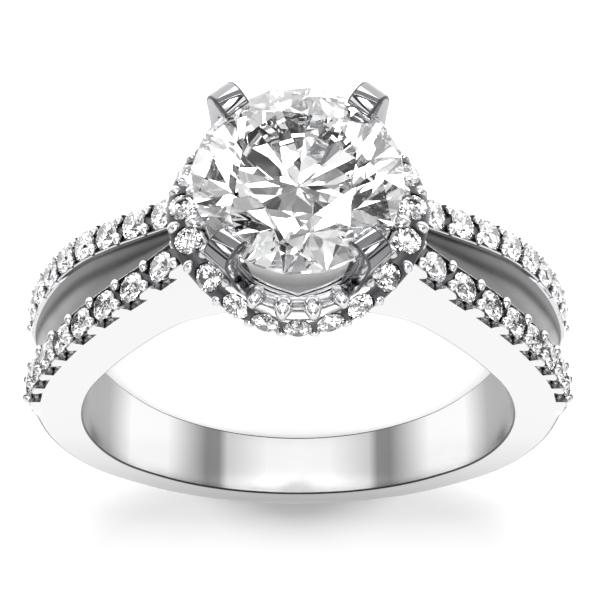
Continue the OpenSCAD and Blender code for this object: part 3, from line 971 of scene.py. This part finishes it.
# Light
# A white studio tent, with darker cards hung in it to draw the facets and edges, four soft boxes
# in front of the head and above it, and two low lamps. Azimuth 0 is where the camera stands, and 90
# is on the left of its picture.
world = bpy.data.worlds.new("white_tent")
bpy.context.scene.world = world
world.use_nodes = True
sky = world.node_tree
facing = add_node(sky, "ShaderNodeTexCoord").outputs["Generated"]
tent_brightness = 1.0
# columns: azimuth, elevation, half width, half height in degrees, softness of the edge, brightness
DARK_CARDS = (
    (0, 56, 30, 18, 0.12, 0.6),
    (75, 40, 6, 34, 0.06, 0.02),
    (-75, 40, 6, 34, 0.06, 0.02),
    (45, 40, 3, 34, 0.06, 0.02),
    (-45, 40, 3, 34, 0.06, 0.02),
    (0, 8, 40, 7, 0.06, 0.2),
    (10, 60, 4, 12, 0.05, 0),
    (-14, 60, 4, 12, 0.05, 0),
    (0, 35, 3, 9, 0.04, 0),
)
# A dark skirting runs round the foot of the tent, between two elevations. Straight behind the ring
# it has a gap, whose edge fades between two cosines of the angle from straight back. The side faces
# mirror the gap, which keeps them clean.
skirt_low = 2
skirt_high = 8
skirt_shade = 0.12
SKIRT_GAP = (0.93, 0.96)
reach = add_node(sky, "ShaderNodeSeparateXYZ", {"Vector": facing}).outputs
wall = add_node(sky, "ShaderNodeMapRange", {
    "Value": reach["Z"], "From Min": math.sin(math.radians(skirt_low)),
    "From Max": math.sin(math.radians(skirt_high)),
    "To Min": skirt_shade, "To Max": tent_brightness}, interpolation_type="SMOOTHSTEP").outputs["Result"]
skirt_gap = add_node(sky, "ShaderNodeMapRange", {
    "Value": reach["Y"], "From Min": SKIRT_GAP[0], "From Max": SKIRT_GAP[1],
    "To Min": 0, "To Max": tent_brightness}).outputs["Result"]
brightness = add_node(sky, "ShaderNodeMath", {0: wall, 1: skirt_gap}, operation="MAXIMUM").outputs["Value"]
# Directions behind a card count as this far ahead of it, which puts them far outside its edges.
least_ahead = 0.001
for azimuth, elevation, half_w, half_h, softness, shade in DARK_CARDS:
    turn = math.radians(azimuth)
    lift = math.radians(elevation)
    towards = Vector((math.sin(turn) * math.cos(lift), -math.cos(turn) * math.cos(lift), math.sin(lift)))
    across = Vector((math.cos(turn), math.sin(turn), 0))
    along = add_node(sky, "ShaderNodeVectorMath", {0: facing, 1: towards},
                     operation="DOT_PRODUCT").outputs["Value"]
    ahead = add_node(sky, "ShaderNodeMath", {0: along, 1: least_ahead}, operation="MAXIMUM").outputs["Value"]
    cover = 1 - shade
    for axis, half in ((across, half_w), (across.cross(towards), half_h)):
        beside = add_node(sky, "ShaderNodeVectorMath", {0: facing, 1: axis},
                          operation="DOT_PRODUCT").outputs["Value"]
        slant = add_node(sky, "ShaderNodeMath", {0: beside, 1: ahead}, operation="DIVIDE").outputs["Value"]
        offset = add_node(sky, "ShaderNodeMath", {0: slant}, operation="ABSOLUTE").outputs["Value"]
        limit = math.tan(math.radians(half))
        inside = add_node(sky, "ShaderNodeMapRange", {
            "Value": offset, "From Min": limit, "From Max": limit + softness,
            "To Min": 1, "To Max": 0}, interpolation_type="SMOOTHSTEP").outputs["Result"]
        cover = add_node(sky, "ShaderNodeMath", {0: inside, 1: cover}, operation="MULTIPLY").outputs["Value"]
    left_open = add_node(sky, "ShaderNodeMath", {0: 1.0, 1: cover}, operation="SUBTRACT").outputs["Value"]
    brightness = add_node(sky, "ShaderNodeMath", {0: left_open, 1: brightness},
                          operation="MULTIPLY").outputs["Value"]
tent = sky.nodes["Background"]
tent.inputs["Color"].default_value = linear("#FFFFFF")
sky.links.new(brightness, tent.inputs["Strength"])

# The two low lamps come last. Metal and stones don't mirror them: they light the table alone, and
# throw the two faint shadows behind the band.
# columns: place in millimetres, side in millimetres, watts, whether metal and stones mirror it
SOFT_BOXES = (
    (0, -280, 250, 200, 0.55, True),
    (160, -330, 100, 120, 0.28, True),
    (-160, -330, 100, 120, 0.28, True),
    (0, -50, 370, 120, 0.28, True),
    (190, -270, 100, 80, 3.8, False),
    (-190, -270, 100, 80, 3.8, False),
)
for number, (x, y, z, side, watts, mirrored) in enumerate(SOFT_BOXES):
    lamp = bpy.data.lights.new(f"soft_box_{number + 1}", "AREA")
    lamp.size = side / 1000
    lamp.energy = watts
    soft_box = linked(f"soft_box_{number + 1}", lamp)
    soft_box.location = Vector((x, y, z)) / 1000
    soft_box.rotation_euler = soft_box.location.to_track_quat("Z", "Y").to_euler()
    soft_box.visible_glossy = mirrored
    soft_box.visible_transmission = mirrored

# Flags of grey velvet lie on the light table round the picture's edge. The centre stone's table
# mirrors the front one, and the beads and claws take their dark outlines from all three. The
# flecks of the pile are about 0.5 mm across.
velvet = speckled_material("grey_velvet", "#4C4C4C", "#545454", 0.5, {
    "Roughness": 1, "Specular IOR Level": 0})
# columns: left, right, front and back edge in millimetres
FLAGS = ((-70, 70, -110, -17), (-70, -15, -17, 30), (15, 70, -17, 30))
flag_height = 0.5
flag_corners = []
for left, right, front, back in FLAGS:
    flag_corners += [(left, front), (right, front), (right, back), (left, back)]
flag_mesh = bpy.data.meshes.new("grey_flags")
flag_mesh.from_pydata([Vector((x, y, flag_height)) / 1000 for x, y in flag_corners], [],
                      [tuple(range(4 * k, 4 * k + 4)) for k in range(len(FLAGS))])
flag_mesh.materials.append(velvet)
flag = linked("grey_flags", flag_mesh)
# Only mirrors and stones see them: they neither show nor throw a shadow.
flag.visible_camera = False
flag.visible_diffuse = False
flag.visible_shadow = False

# Camera
# It looks at the ring from in front and above, with the head's side of the picture up, so the
# camera is rolled half round, because the ring lies with its head towards it.
# Its angles and lens are fitted to the outline of the finger hole.
camera_distance = 110
camera_height_angle = math.radians(63.77)
camera_pitch = math.radians(62.22)
camera_side = 0.07
camera_data = bpy.data.cameras.new("photo_camera")
camera_data.lens = 170.7
camera_data.sensor_width = 36
camera_data.clip_start = 0.01
camera_data.clip_end = 10
camera = linked("photo_camera", camera_data)
eye = Vector((camera_side, -camera_distance * math.cos(camera_height_angle),
              camera_distance * math.sin(camera_height_angle)))
look = Vector((0, math.cos(camera_pitch), -math.sin(camera_pitch)))
top = Vector((0, math.sin(camera_pitch), math.cos(camera_pitch)))
turned = LAID.to_3x3().normalized()
axes = Matrix((turned @ look.cross(top), turned @ top, turned @ -look)).transposed().to_4x4()
axes.translation = LAID @ eye
camera.matrix_world = axes
bpy.context.scene.camera = camera

scene = bpy.context.scene
scene.view_settings.view_transform = "Standard"
scene.cycles.max_bounces = 24
scene.cycles.transmission_bounces = 24
scene.cycles.glossy_bounces = 12
scene.cycles.caustics_reflective = False
scene.cycles.caustics_refractive = False
